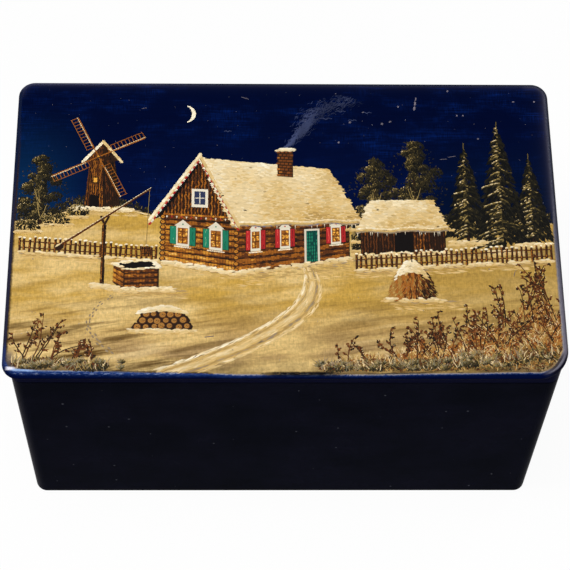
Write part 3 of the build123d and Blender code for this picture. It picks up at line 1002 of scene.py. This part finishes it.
def paint_cottage(brush):
    """The log house, with a snow roof, lit windows, painted shutters and a chimney."""
    gable = ((50.0, 41.5), (74.0, 37.0), (74.0, 57.5), (50.0, 59.0))
    side = ((74.0, 37.0), (111.0, 42.5), (111.0, 58.5), (74.0, 57.5))
    apex = (62.0, 79.0)
    gable_logs = 9
    log_wall(brush, side, 8, 0.74, 0)
    log_wall(brush, gable, gable_logs, 1.02, 0)

    # Boards of the gable, with a carved band below them and an attic window
    brush.patch([gable[3], gable[2], apex], "bark", 0.5, 0)
    brush.patch([(46.2, 56.8), (50.6, 58.9), (62.4, 79.0), (61.8, 81.0)], "soot", 0.5, 0)
    boards = 22
    for board in range(boards):
        share = (board + 0.5) / boards
        u, v = wall_point(gable, share, 1)
        tall = (apex[1] - v) * (1 - abs(share - 0.5) * 2)
        steps = int(tall / 0.8) + 1
        tint = brush.vary(0.52, 0.08)
        for step in range(steps):
            rise = (step + 0.5) / steps
            shade = tint - 0.34 * max(0, rise - 0.6)
            brush.stroke(brush.vary(u, 0.22), v + tall * rise, 1.7, 0.6, brush.vary(90, 3), TIMBER, shade, 1)
        brush.line([(u + 0.55, v), (u + 0.55, v + tall + 0.1)], 0.18, "bark", 0.5, 2)
    teeth = 30
    for tooth in range(teeth):
        u, v = wall_point(gable, (tooth + 0.5) / teeth, 1.01)
        brush.stroke(u, v, 1.3, 1.0, brush.vary(-4, 3), TIMBER, 0.66, 3)
        if tooth % 2:
            carving = "trim_white" if tooth % 4 == 1 else "madder"
            brush.dab(u, v - 0.9, 1.2, 0.7, -90, carving, 0.46, 4, BLADE)
    brush.patch([(59.2, 61.8), (64.6, 61.5), (64.6, 68.5), (59.2, 68.7)], "trim_white", 0.44, 3)
    brush.patch([(60.1, 62.8), (63.7, 62.6), (63.7, 67.6), (60.1, 67.8)], "smoke", 0.2, 4)
    brush.line([(61.9, 62.6), (61.9, 67.8)], 0.34, "trim_white", 0.44, 5)
    brush.line([(60.1, 65.2), (63.7, 65.1)], 0.34, "trim_white", 0.44, 5)

    # Windows, door and the ends of the logs
    for s in (0.27, 0.72):
        cottage_window(brush, gable, s, 0.4, 0.165, 0.36, GREEN, 3)
    for s in (0.17, 0.43, 0.88):
        cottage_window(brush, side, s, 0.4, 0.082, 0.36, RED, 3)
    wall_patch(brush, side, 0.6, 0.735, 0.03, 0.74, "trim_white", 0.3, 3)
    wall_patch(brush, side, 0.618, 0.717, 0.03, 0.7, "green_dark", 0.5, 4)
    for board in range(5):
        for step in range(9):
            u, v = wall_point(side, 0.628 + 0.02 * board, 0.07 + 0.07 * step)
            brush.stroke(u, v, 1.4, 0.5, brush.vary(90, 4), GREEN, 0.55 - 0.08 * board, 5)
    for log in range(gable_logs):
        for corner in (0.0, 1.0):
            u, v = wall_point(gable, corner, (log + 0.5) / gable_logs)
            brush.dab(u, v, 2.2, 2.0, 0, "bark", 0.5, 3, ROUND)
            brush.dab(u - 0.08, v + 0.08, 1.7, 1.55, 0, "log_ochre", brush.vary(0.55, 0.06), 4, ROUND)
            brush.dab(u - 0.12, v + 0.12, 1.2, 1.1, 0, "log_gold", brush.vary(0.5, 0.06), 5, ROUND)
            brush.dab(u - 0.1, v + 0.1, 0.5, 0.45, 0, "log_brown", 0.5, 6, ROUND)
    for _ in range(90):
        u, v = wall_point(side, brush.draw(), brush.draw(0.88, 1.0))
        brush.stroke(u, v, 1.8, 0.8, 8, TIMBER, 0.16, 6)

    # Roof, its carved boards and the chimney
    snowy_roof(brush, ((72.6, 55.2), (115.0, 56.6), (104.6, 76.4), (61.6, 80.6)), 2300, 7)
    verges = (((62.2, 80.2), (74.6, 54.6), 0.62), ((61.8, 81.4), (45.6, 56.6), 0.9))
    for start, end, level in verges:
        turn = direction(start, end)
        for step, (u, v) in enumerate(spaced(start, end, 52)):
            carving = "trim_white" if step % 4 < 2 else "madder"
            brush.dab(u, v - 1.2, 1.2, 0.9, turn, carving, brush.vary(0.42, 0.08), 10)
            brush.snow(u, v - 0.1, 1.8, 1.0, brush.vary(turn, 8), level - 0.3, 11)
            brush.snow(u, v + 0.6, 1.8, 1.1, brush.vary(turn, 8), level, 12)
    chimney = ((87.6, 73.6), (92.8, 73.2), (92.8, 83.4), (87.6, 83.6))
    brush.patch(list(chimney), "bark", 0.6, 11)
    courses = 9
    bricks = 4
    for course in range(courses):
        for brick in range(bricks):
            s = (brick + 0.3 + 0.5 * (course % 2)) / bricks
            u, v = wall_point(chimney, min(s, 0.9), (course + 0.5) / courses)
            brush.stroke(u, v, 1.2, 0.85, 0, BRICK, 0.7 - 0.5 * s, 12, BAR)
    brush.drift((87.4, 84.0), (93.0, 83.8), 22, 0.5, 0.86, 13)
    brush.drift(gable[0], gable[1], 110, 0.8, 0.78, 8)
    brush.drift(side[0], side[1], 130, 0.8, 0.66, 8)


def paint_smoke(brush):
    """Smoke that leans off to the right and thins out against the sky."""
    for _ in range(900):
        rise = brush.draw() ** 0.8
        wide = 0.7 + 4.4 * rise
        across = brush.chance.gauss(0, 0.5)
        u = 90.5 + 22 * rise ** 1.6 + 1.7 * sin(6.5 * rise) + across * wide
        v = 84.5 + 20 * rise - 0.4 * across * wide
        curl = sin(14 * rise + 3 * across)
        tone = 0.62 - 0.5 * rise - 0.3 * across + 0.16 * curl
        turn = brush.vary(55 - 25 * rise, 30)
        thin = max(0.3, 1.05 - 0.6 * abs(across) - 0.5 * rise)
        brush.dab(u, v, brush.vary(1.3, 0.4), thin * brush.vary(0.4, 0.1), turn, "smoke", tone, 4)


def paint_barn(brush):
    """A plank barn behind the house, dark, with its door ajar."""
    front = ((114.6, 43.4), (142.4, 44.6), (142.4, 55.0), (114.6, 54.5))
    plank_wall(brush, front, 29, 0.3, 0)
    for _ in range(110):
        u, v = wall_point(front, brush.draw(), brush.draw(0.82, 1))
        brush.stroke(u, v, 1.6, 0.8, 2, TIMBER, 0.1, 3)
    wall_patch(brush, front, 0.4, 0.62, 0.0, 0.76, "soot", 0.5, 3)
    door = [wall_point(front, s, t) for s, t in ((0.62, -0.02), (0.76, -0.05), (0.76, 0.72), (0.62, 0.76))]
    plank_wall(brush, door, 4, 0.5, 3)
    brush.line([wall_point(front, 0.63, 0.1), wall_point(front, 0.75, 0.6)], 0.4, "log_brown", 0.4, 6)
    snowy_roof(brush, ((113.4, 53.0), (143.6, 53.8), (138.6, 64.6), (118.0, 64.2)), 900, 5)
    brush.drift((113, 43.6), (144, 44.6), 90, 0.9, 0.62, 7)


def paint_fences(brush):
    """Picket fences with a cap of snow on each picket."""
    runs = (((113, 38.0), (177, 42.0), 5.8, 40), ((3.4, 45.0), (48, 41.5), 5.4, 28))
    for start, end, tall, pickets in runs:
        for rail in (0.3, 0.72):
            rise = rail * tall
            brush.line([(start[0], start[1] + rise), (end[0], end[1] + rise)], 0.42, "log_brown", 0.4, 0)
        for u, v in spaced(start, end, pickets):
            u = brush.vary(u, 0.14)
            lean = brush.vary(90, 4)
            top = tall * brush.vary(1, 0.1)
            brush.dab(u, v + top / 2, top, 0.8, lean, "bark", brush.vary(0.7, 0.2), 1, BAR)
            for step in range(5):
                level = brush.vary(0.5, 0.08)
                brush.stroke(u - 0.12, v + top * (0.1 + 0.2 * step), 1.5, 0.42, lean, TIMBER, level, 2)
            brush.snow(u + 0.03, v + top + 0.05, 1.1, 0.75, brush.vary(0, 14), 0.92, 3)
        brush.drift(start, end, 3 * pickets, 0.55, 0.68, 4)


def paint_well(brush):
    """A log well with its sweep: a long pole on a forked post, with a bucket on its rope."""
    for step in range(22):
        brush.stroke(brush.vary(30.7, 0.1), 34 + step, 2.0, 1.2, brush.vary(89, 3), TIMBER, 0.2, 5, BAR)
        brush.stroke(30.4, 34 + step, 1.6, 0.4, brush.vary(89, 3), TIMBER, 0.6, 6)
    brush.line([(30.8, 55), (29.6, 58.2)], 0.8, "bark", 0.7, 5)
    brush.line([(30.8, 55), (32.2, 58.2)], 0.8, "bark", 0.7, 5)
    low_end = (15.5, 46.5)
    high_end = (45.5, 68.5)
    brush.line(spaced(low_end, high_end, 5), 0.9, "log_brown", 0.45, 7, 0.4)
    for u, v in spaced(low_end, high_end, 40):
        brush.stroke(u, v + 0.4, 1.1, 0.34, brush.vary(36, 6), SNOW, 0.8, 8)
    brush.dab(16.4, 46.6, 3.4, 2.2, 36, "bark", 0.6, 8, ROUND)
    brush.dab(16.0, 47.3, 2.6, 0.7, 36, "snow_cream", 0.5, 9, ROUND)
    brush.line([(45.3, 68.3), (44.6, 47.4)], 0.2, "frost_gold", 0.36, 8)
    plank_wall(brush, ((43.2, 43.4), (46.0, 43.4), (46.4, 46.8), (42.8, 46.8)), 5, 0.5, 8)
    brush.line([(42.8, 46.1), (46.4, 46.1)], 0.34, "soot", 0.6, 11)
    brush.line([(43.1, 44.2), (46.1, 44.2)], 0.34, "soot", 0.6, 11)
    log_wall(brush, ((34.4, 33.6), (38.0, 31.0), (38.0, 38.5), (34.4, 40.6)), 4, 0.95, 5)
    log_wall(brush, ((38.0, 31.0), (49.0, 31.5), (49.0, 39.0), (38.0, 38.5)), 4, 0.78, 5)
    brush.patch([(38.0, 38.5), (49.0, 39.0), (46.0, 41.6), (34.4, 40.6)], "soot", 0.5, 7)
    rim = ((38.0, 38.6), (49.2, 39.1), (46.2, 41.9), (34.2, 40.8), (38.0, 38.6))
    for start, end in zip(rim, rim[1:]):
        brush.drift(start, end, 16, 0.35, 0.86, 8)
    brush.drift((27, 32.8), (38, 30.9), 70, 0.9, 0.68, 9)
    brush.drift((36, 30.9), (54, 31.1), 130, 0.9, 0.68, 9)


def paint_haystack(brush):
    """A round haystack under a heavy cap of snow."""
    middle = 131.0
    for _ in range(900):
        rise = brush.draw() ** 1.2
        reach = 7.6 * sqrt(max(0.02, 1 - rise ** 2))
        du = brush.draw(-reach, reach)
        level = 0.38 - 0.045 * du + 0.1 * sin(3 * du + 2 * rise) - 0.12 * (1 - rise)
        brush.stroke(middle + du, 27.5 + 13 * rise, 1.7, 0.4, brush.vary(7 * du - 90, 18), HAY, level, 0)
    for _ in range(360):
        rise = brush.draw()
        reach = 5.4 * sqrt(max(0.02, 1 - rise ** 1.8)) * (0.9 + 0.1 * sin(40 * rise))
        du = brush.draw(-reach, reach)
        v = 37.6 + 4.2 * rise - 0.09 * du * du + 0.3 * sin(2.6 * du)
        level = 0.72 + 0.16 * rise - 0.045 * du
        brush.snow(middle - 0.2 + du, v, 1.5, 0.6, brush.vary(-6 * du, 14), level, 1)
    brush.line([(middle, 41), (middle + 0.2, 44.4)], 0.4, "bark", 0.6, 2)
    brush.drift((middle - 10, 27.4), (middle + 10, 27.4), 60, 0.7, 0.6, 3)


def paint_woodpile(brush):
    """Logs stacked for the winter, with their ends to the front and snow on top."""
    brush.patch([(41.6, 16.8), (60.0, 16.8), (57.2, 23.4), (44.2, 23.4)], "bark", 0.42, 0)
    rings = (
        ("log_brown", 1.0), ("leaf_ochre", 0.82), ("log_ochre", 0.6), ("leaf_ochre", 0.42),
        ("bark", 0.16),
    )
    for row in range(3):
        for log in range(7 - row):
            u = 42.6 + 1.3 * row + 2.6 * log + brush.vary(0, 0.3)
            v = 17.8 + 2.2 * row + brush.vary(0, 0.3)
            size = brush.vary(2.6, 0.4)
            brush.dab(u + 0.2, v - 0.2, 1.4 * size, 1.3 * size, 0, "bark", 0.42, 0, ROUND)
            for ring, (wood, share) in enumerate(rings):
                wide = share * size
                tone = brush.vary(0.54, 0.1)
                aside = 0.04 * ring
                for turn in (0, 30):
                    brush.dab(u - aside, v + aside, wide, wide, turn, wood, tone, ring + 1, ROUND)
            brush.line([(u, v), (u + 0.34 * size, v + brush.vary(0, 0.5))], 0.16, "bark", 0.5, 6)
    for _ in range(150):
        s = brush.draw(-1, 1)
        rise = brush.draw()
        v = 23.2 + 2.1 * rise * sqrt(1 - s * s) - 0.8 * s * s
        level = 0.66 + 0.24 * rise - 0.14 * s
        brush.snow(50.4 + 7.6 * s, v, 1.9, 0.7, brush.vary(-10 * s, 10), level, 7)
    brush.drift((40, 16.2), (61, 16.0), 120, 0.7, 0.62, 8)


def paint_tracks(brush):
    """The tracks of a hare, from the bushes at the left towards the well."""
    leaps = 9
    for leap in range(leaps):
        share = leap / (leaps - 1)
        u = 34 - 7 * sin(3 * share) + brush.vary(0, 0.4)
        v = 9 + 19 * share
        near = 1.2 - 0.4 * share
        turn = 90 + 50 * cos(3 * share)
        for along, aside in ((0.9, -0.5), (0.9, 0.5), (-0.6, 0.0)):
            paw = ahead((u, v), near * along, turn, near * aside)
            shade = brush.vary(0.34, 0.08)
            brush.dab(*paw, 1.1 * near, 0.55 * near, turn, "snow_shade", shade, 0, ROUND)


def path_middle(t):
    """The middle of the path, t of the way from the door to the front of the picture."""
    return 97 - 40 * t * t + 5 * sin(3.4 * t), 40 - 37.8 * t


def paint_path(brush):
    """The trodden way from the door to the front of the picture, with ruts, and the shadows on the snow."""
    for _ in range(1900):
        t = brush.draw() ** 0.75
        half = 1.2 + 6.0 * t
        across = max(-1.2, min(1.2, brush.chance.gauss(0, 0.62)))
        rut = exp(-((abs(across) - 0.6) / 0.2) ** 2)
        bank = exp(-((abs(across) - 1.05) / 0.16) ** 2)
        u, v = path_middle(t)
        turn = brush.vary(direction((u, v), path_middle(t + 0.02)), 9)
        level = 0.6 - 0.36 * rut + 0.2 * bank - 0.1 * across + 0.06 * sin(40 * t + 3 * across)
        brush.stroke(u + across * half, v, 1.6 + 1.9 * t, 0.28 + 0.2 * t, turn, SNOW, level, 0)
    shadows = (
        ((74, 36.8), (116, 42.6), 5.5), ((50, 41.2), (74, 36.8), 2.6), ((112, 42.2), (128, 41.5), 4.5),
        ((116, 43.2), (146, 44.2), 3.6), ((124, 27.2), (148, 27.2), 3.4), ((36, 31.0), (58, 30.6), 3.2),
        ((24, 61.0), (44, 60.2), 2.2), ((143, 44.6), (175, 44.8), 3.6), ((4, 44.6), (48, 41.0), 2.0),
        ((113, 37.6), (175, 41.5), 2.2),
    )
    for start, end, deep in shadows:
        for _ in range(int(3.6 * dist(start, end))):
            u, v = between(start, end, brush.draw())
            fade = brush.draw() ** 1.6
            turn = brush.vary(-3, 6)
            brush.stroke(u + 1.5 * fade, v - deep * fade, 2.6, 0.42, turn, SNOW, 0.2 + 0.34 * fade, 1)


def twig(brush, u, v, tall, lean, coat):
    """A bent stem with side twigs, the last brown leaves, and frost on some tips."""
    turn = 90 - lean
    bend = brush.vary(0, 0.5)
    points = [(u, v)]
    knots = 6
    for step in range(knots):
        turn += degrees(bend / knots + brush.vary(0, 0.16))
        knot = ahead(points[-1], tall / knots, turn)
        points.append(knot)
        if step > 0:
            side = turn + degrees(brush.chance.choice((-1, 1)) * brush.draw(0.5, 1.0))
            reach = brush.draw(0.1, 0.22) * tall * (1.2 - step / 8)
            tip = ahead(knot, reach, side)
            brush.line([knot, tip], 0.26, "rust", brush.vary(0.34, 0.12), coat)
            for leaf in range(5):
                leaf_u, leaf_v = between(knot, tip, brush.draw(0.2, 1.1))
                leaf_turn = brush.vary(side, 50)
                level = brush.vary(0.22, 0.2)
                leaf_u = brush.vary(leaf_u, 0.4)
                leaf_v = brush.vary(leaf_v, 0.4)
                brush.stroke(leaf_u, leaf_v, 1.0, 0.55, leaf_turn, LEAVES, level, coat + 1)
            if brush.draw() < 0.3:
                frosted = brush.vary(0.44, 0.12)
                brush.dab(*tip, 0.7, 0.3, side, "snow_cream", frosted, coat + 2)
    brush.line(points, 0.42, brush.chance.choice(["bark", "log_brown"]), brush.vary(0.5, 0.12), coat, 0.5)


def thicket_height(u):
    """The top of the thicket, which climbs from the middle of the front edge to the right."""
    climb = max(0.0, (u - 100) / 78)
    return 5 + 23 * climb ** 1.7 + (0.6 + 2.4 * climb) * (sin(u / 2.9) + 0.6 * sin(u / 1.3))


def thicket_place(brush, start, reach, crowding):
    """A place along the thicket, more often near its start at the right than at its far end."""
    return start - reach * brush.draw() ** crowding


def paint_bushes(brush):
    """Brown bushes along the lower right, over a tangle of dead leaves and frosted grass."""
    for _ in range(5200):
        u = thicket_place(brush, 177.6, 76, 1.35)
        t = brush.draw() ** 0.9
        v = THICKET_FOOT + (thicket_height(u) - THICKET_FOOT) * t
        lump = sin(0.9 * u + 0.5 * v) * sin(1.1 * v - 0.35 * u) + 0.5 * sin(2.3 * u + 1.7 * v)
        coat = int(3 * brush.draw())
        level = 0.36 + 0.2 * lump + 0.2 * t + 0.16 * (coat - 1)
        scale = LITTER if t < 0.34 + 0.12 * sin(u) else LEAVES
        brush.stroke(u, v, 1.2, 0.42, brush.vary(90, 75), scale, level, coat)
    for _ in range(420):
        u = thicket_place(brush, 177.6, 76, 1.35)
        v = THICKET_FOOT + (thicket_height(u) - THICKET_FOOT) * brush.draw()
        turn = brush.vary(90, 60)
        bend = degrees(brush.vary(0, 0.5))
        blade = [(u, v)]
        for joint in range(3):
            blade.append(ahead(blade[-1], 0.9, turn + bend * joint))
        straw = brush.chance.choice(["snow_cream", "snow_gold", "leaf_ochre", "frost_gold"])
        brush.line(blade, 0.24, straw, brush.vary(0.46, 0.14), 3, 0.6)
    for _ in range(46):
        u = thicket_place(brush, 177, 70, 1.3)
        v = thicket_height(u) * brush.draw(0.35, 0.9)
        twig(brush, u, v, brush.vary(6 + 0.1 * (u - 100), 3), brush.vary(0, 40), 4)
    shrubs = (
        (174, 27, 15, -14), (168, 24, 16, 6), (160, 18, 12, -10), (150, 13, 11, 12), (140, 10, 9, -16),
        (128, 7, 7, 14), (10, 5.2, 15, 10), (15, 5, 12, 26), (7, 5.5, 12, -8), (22, 4.6, 9, 22),
        (29, 4.4, 7, -16),
    )
    for u, v, tall, lean in shrubs:
        for stem in range(3):
            twig(brush, brush.vary(u, 0.8), v, brush.vary(tall, 2), brush.vary(lean, 22), 4)
    for _ in range(110):
        u = thicket_place(brush, 177, 60, 1.5)
        v = thicket_height(u) * brush.draw(0.3, 1.0)
        brush.stroke(u, v, 0.9, 0.34, brush.vary(90, 80), LEAVES, brush.vary(0.9, 0.1), 7)


def paint_grasses(brush):
    """Frosted grass in tussocks along the front edge, with dead leaves between them."""
    tufts = (
        (12, 4.8, 9), (27, 4.0, 7), (106, 3.8, 6), (118, 4.4, 8),
        (132, 4.6, 8), (146, 5.4, 8), (159, 6, 8), (170, 8, 6),
    )
    for u, v, wide in tufts:
        brush.clump(u, v, wide, 2.0, int(34 * wide), 0.7, LITTER, 0.02, 0.5, 0)
        for blade in range(int(4.5 * wide)):
            foot = brush.vary(u, wide), brush.vary(v - 0.6, 1.3)
            turn = brush.vary(90, 45)
            bent = turn + brush.vary(0, 30)
            tall = brush.draw(1.4, 4.4)
            level = brush.draw(0.35, 1)
            knee = ahead(foot, 0.5 * tall, turn)
            tip = ahead(knee, 0.5 * tall, bent)
            brush.stroke(*between(foot, knee, 0.5), 0.62 * tall, 0.3, turn, GRASS, level, 2, BAR)
            brush.stroke(*between(knee, tip, 0.4), 0.6 * tall, 0.32, bent, GRASS, level, 2, BLADE)
    for _ in range(64):
        at_left = brush.draw(4, 38)
        at_right = [brush.draw(100, 174) for _ in range(2)]
        u = brush.chance.choice((at_left, *at_right))
        v = 2.6 + brush.draw(0, 2.4 + 5 * max(0, (u - 120) / 60)) ** 1.05
        size = brush.draw(0.7, 2.3)
        paleness = brush.vary(0, 0.22)
        for blade in range(int(24 * size)):
            fan = brush.draw(-1, 1)
            rise = brush.draw()
            level = 0.16 + paleness + 0.6 * rise - 0.2 * fan
            blade_u = u + fan * size * (0.35 + 0.65 * rise)
            blade_v = v + size * rise * (1 - 0.6 * fan * fan)
            brush.stroke(blade_u, blade_v, 1.1, 0.28, 90 - 64 * fan, GRASS, level, 3)


def paint_sky(brush):
    """A sickle moon, and rooks on their way home."""
    steps = 70
    for step in range(steps):
        turn = -78 + 156 * step / (steps - 1)
        thick = 1.25 * cos(radians(turn)) ** 0.8 + 0.1
        u, v = ahead((57, 98), 3.2, turn)
        brush.dab(u - 0.5 * thick, v, thick, 0.42, 0, "snow_white", brush.vary(0.5, 0.05), 3, ROUND)
    birds = (
        (104, 96, 1.5), (109, 99, 1.2), (113, 95.5, 1.0), (99, 99.5, 0.9), (118, 98.5, 1.1), (71, 91, 0.9),
    )
    for u, v, size in birds:
        for side in (-1, 1):
            wing = [(u, v), (u + side * 0.6 * size, v + 0.45 * size), (u + side * 1.4 * size, v + 0.2 * size)]
            brush.line(wing, 0.34, "smoke", 0.3, 6, 0.5)


def paint_wear(brush):
    """Small losses and scratches over the whole picture, where the pale ground shows."""
    for _ in range(80):
        size = 0.18 + 0.26 * brush.draw() ** 3
        u = brush.draw(4, LID_WIDTH - 4)
        v = brush.draw(4, LID_DEPTH - 4)
        brush.dab(u, v, size, size * 0.8, brush.vary(0, 90), "snow_lilac", brush.vary(0.5, 0.3), 0, ROUND)
    losses = (
        (134.8, 104.3, 1.6, 0.5, 78), (134.5, 102.5, 1.8, 0.7, 86), (134.2, 100.6, 1.7, 0.8, 80),
        (112.2, 94.9, 0.9, 0.8, 0), (123.0, 94.3, 0.9, 0.9, 0), (125.8, 95.2, 0.9, 0.6, 30),
        (116.7, 98.9, 0.7, 0.4, 10), (128.7, 101.2, 0.6, 0.9, 0), (108.2, 86.9, 0.7, 0.7, 0),
        (145.8, 107.6, 0.8, 0.6, 60), (148.5, 97.7, 0.5, 0.7, 0), (150.6, 97.7, 0.5, 0.6, 0),
        (155.2, 88.5, 0.7, 0.6, 0), (175.1, 103.4, 0.7, 0.7, 0), (168.0, 103.3, 0.9, 0.4, 0),
    )
    for u, v, length, width, turn in losses:
        brush.dab(u, v, length, width, turn, "snow_lilac", brush.vary(0.42, 0.2), 0, ROUND)
    scratches = (
        (142, 80.3, 5, 2.4), (144.8, 81.2, 9, 2.6), (78, 104, 160, 2.6), (64, 14, 8, 3.0),
        (164, 36, 75, 2.0), (42, 100, 15, 1.6),
    )
    for u, v, turn, length in scratches:
        brush.line([(u, v), ahead((u, v), length, turn)], 0.18, "snow_lilac", 0.24, 0)


# The motifs in the order of painting, each with the coats below it, the seed of its chances and its painter
MOTIFS = (
    ("moon_and_birds", 0, 97, paint_sky),
    ("smoke", 0, 59, paint_smoke),
    ("far_forest", 0, 11, paint_far_forest),
    ("frosted_trees", 3, 23, paint_frosted_trees),
    ("windmill", 3, 41, paint_windmill),
    ("firs", 9, 37, paint_firs),
    ("barn", 12, 61, paint_barn),
    ("cottage", 6, 53, paint_cottage),
    ("path", 0, 79, paint_path),
    ("fences", 20, 67, paint_fences),
    ("haystack", 24, 73, paint_haystack),
    ("tracks", 4, 78, paint_tracks),
    ("woodpile", 16, 77, paint_woodpile),
    ("well", 20, 71, paint_well),
    ("bushes", 12, 83, paint_bushes),
    ("grasses", 18, 89, paint_grasses),
    ("worn_specks", 28, 101, paint_wear),
)


def dress_nodes():
    """Every CAD node gets the finish of its slot in the record."""
    finishes = {
        "blue_lacquer": blue_black_lacquer(),
        "bottom_lacquer": bottom_lacquer(),
        "red_lacquer": red_lacquer(),
        "painted_lid": painted_lid(),
        "hinge_brass": hinge_brass(),
        "pin_steel": pin_steel(),
    }
    for part in frame["record"]["subparts"]:
        for entry in frame["nodes"][part["node"]].material_slots:
            entry.material = finishes[part["material_slot"]]


def lay_floor():
    """A plain white floor that keeps the shadow of the box, but only faintly."""
    paper = Finish("floor_paper", Base_Color=(0.9, 0.9, 0.9, 1), Roughness=0.9, Specular_IOR_Level=0.0)
    rays = [paper.node("LightPath", output=f"Is {kind} Ray") for kind in ("Camera", "Glossy", "Transmission")]
    white = paper.node("Emission", {}, {"Color": (1, 1, 1), "Strength": 1.0})
    share = sum(rays).at_most(1) * 0.95
    lit = Wire(paper, paper.shader.outputs[0])
    mixed = paper.node("MixShader", {}, {0: share, 1: lit, 2: white})
    paper.tree.links.new(mixed.socket, paper.tree.nodes["Material Output"].inputs["Surface"])
    plane = bmesh.new()
    bmesh.ops.create_grid(plane, x_segments=1, y_segments=1, size=FLOOR_REACH)
    floor = make_piece("floor", plane, paper.material)


def softbox(name, place, width, height, watts, colour):
    """A soft lamp that shines on the middle of the lid."""
    lamp = bpy.data.lights.new(name, "AREA")
    lamp.shape = "RECTANGLE"
    lamp.size = width
    lamp.size_y = height
    lamp.energy = watts
    lamp.color = colour
    holder = put_in_scene(name, lamp)
    holder.location = place
    aim = Vector((0, 0, LID_TOP)) - Vector(place)
    holder.rotation_euler = aim.to_track_quat("-Z", "Y").to_euler()


def light_room():
    """Four soft lamps in a dim room."""
    room = bpy.data.worlds.new("room")
    room.use_nodes = True
    background = room.node_tree.nodes["Background"]
    background.inputs["Color"].default_value = (0.9, 0.95, 1, 1)
    background.inputs["Strength"].default_value = 0.03
    bpy.context.scene.world = room
    softbox("overhead", (-0.15, -0.12, 1.3), 0.5, 0.5, 9.5, (1, 0.99, 0.97))
    softbox("left", (-0.85, -0.12, 0.95), 0.3, 0.3, 6, (0.97, 0.98, 1))
    softbox("right_back", (0.8, 0.68, 0.95), 0.35, 0.35, 3, (0.95, 0.96, 1))
    softbox("front", (0.35, -1.25, 0.85), 0.6, 0.4, 4, (1, 1, 1))


def set_camera():
    """A camera that sees the box as it was photographed."""
    forward = Vector((
        sin(CAMERA_YAW) * cos(CAMERA_PITCH),
        cos(CAMERA_YAW) * cos(CAMERA_PITCH),
        -sin(CAMERA_PITCH),
    ))
    level = Vector((cos(CAMERA_YAW), -sin(CAMERA_YAW), 0))
    upright = level.cross(forward)
    right = cos(CAMERA_ROLL) * level + sin(CAMERA_ROLL) * upright
    up = cos(CAMERA_ROLL) * upright - sin(CAMERA_ROLL) * level
    lens = bpy.data.cameras.new("camera")
    lens.sensor_fit = "HORIZONTAL"
    lens.sensor_width = SENSOR_WIDTH
    lens.lens = SENSOR_WIDTH * FOCAL_PIXELS / PHOTO_SIDE
    lens.clip_start = 0.01
    lens.clip_end = 20
    camera = put_in_scene("camera", lens)
    turn = Matrix((right, up, -forward)).transposed().to_4x4()
    camera.matrix_world = Matrix.Translation(CAMERA_PLACE) @ turn
    bpy.context.scene.camera = camera


PAINT = miniature_paint()
dress_nodes()
for name, coats_below, seed, motif in MOTIFS:
    brush = Brush(name, coats_below, seed)
    motif(brush)
    brush.finish()
lay_floor()
light_room()
set_camera()
bpy.context.scene.view_settings.view_transform = "Standard"
